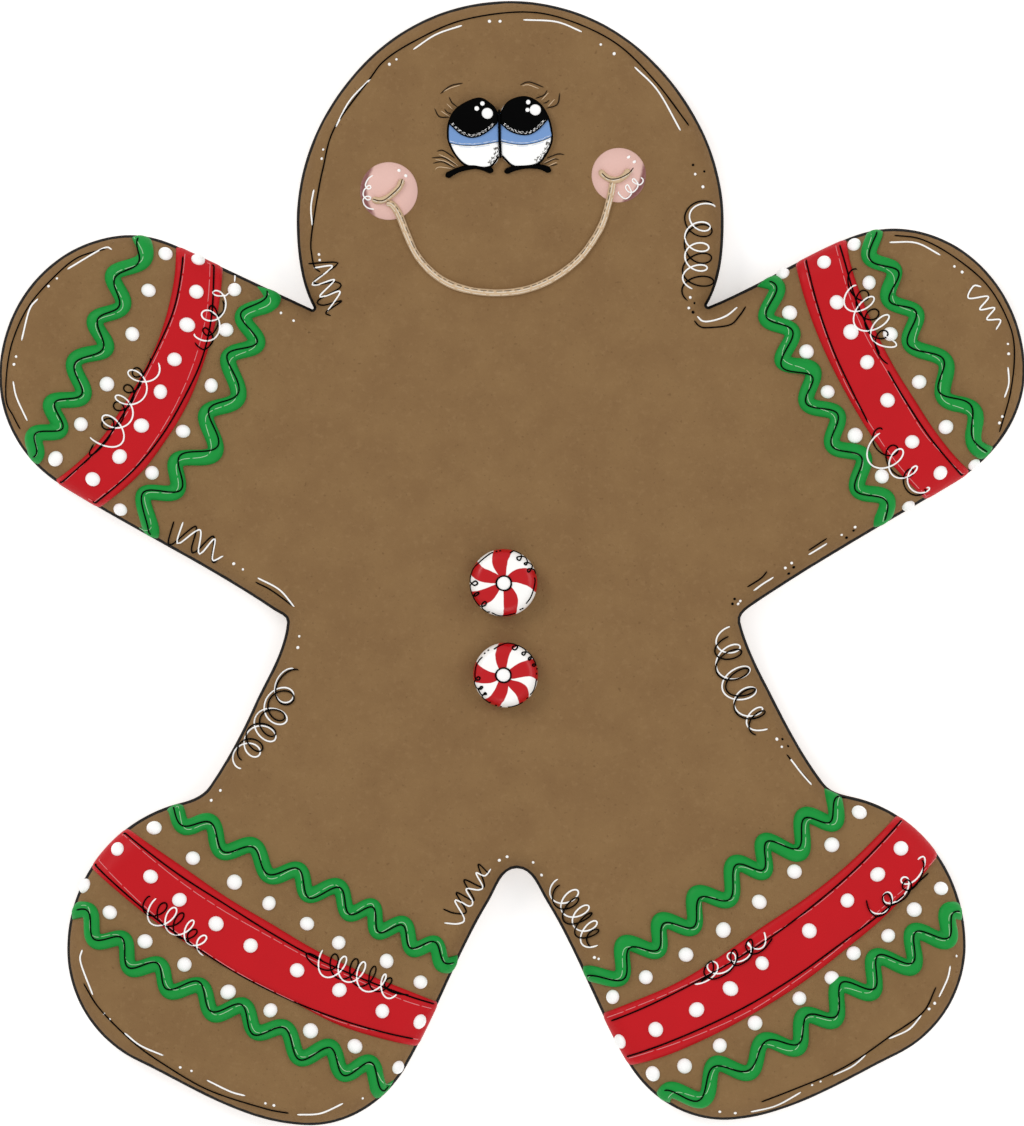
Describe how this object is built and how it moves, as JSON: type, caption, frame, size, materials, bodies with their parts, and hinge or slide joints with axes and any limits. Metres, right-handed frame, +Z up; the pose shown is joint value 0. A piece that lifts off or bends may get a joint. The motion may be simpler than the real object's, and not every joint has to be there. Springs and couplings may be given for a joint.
{
  "type": "gingerbread man cookie",
  "caption": "Gingerbread man biscuit with iced trim on arms and legs, an icing face and peppermint buttons, made to lie flat.",
  "frame": {"origin": "centre of the footprint, on the underside", "axes": "+Z up out of the iced face, +Y towards the head, +X to the right as seen from above"},
  "size_m": [0.1458, 0.1598, 0.0118],
  "materials": {
    "biscuit": "dry baked gingerbread, matte, slightly grainy",
    "icing_red": "set royal icing, satin",
    "icing_green": "set royal icing, satin",
    "icing_white": "set royal icing, satin",
    "icing_blue": "set royal icing, satin",
    "icing_black": "set royal icing, glossy",
    "icing_pink": "set royal icing, satin",
    "icing_tan": "set royal icing, satin",
    "candy": "boiled sugar, glossy"
  },
  "bodies": {
    "root": {"cookie": "biscuit", "band_arm_left": "icing_red", "band_arm_right": "icing_red", "band_leg_left": "icing_red", "band_leg_right": "icing_red", "zigzag_arm_left_outer": "icing_green", "zigzag_arm_left_inner": "icing_green", "zigzag_arm_right_inner": "icing_green", "zigzag_arm_right_outer": "icing_green", "zigzag_leg_left_upper": "icing_green", "zigzag_leg_left_lower": "icing_green", "zigzag_leg_right_upper": "icing_green", "zigzag_leg_right_lower": "icing_green", "eye_white_left": "icing_white", "iris_left": "icing_blue", "pupil_left": "icing_black", "lid_left": "icing_black", "eye_white_right": "icing_white", "iris_right": "icing_blue", "pupil_right": "icing_black", "lid_right": "icing_black", "cheek_left": "icing_pink", "cheek_right": "icing_pink", "smile": "icing_tan", "candy_upper": "candy", "candy_lower": "candy"}
  },
  "joints": []
}
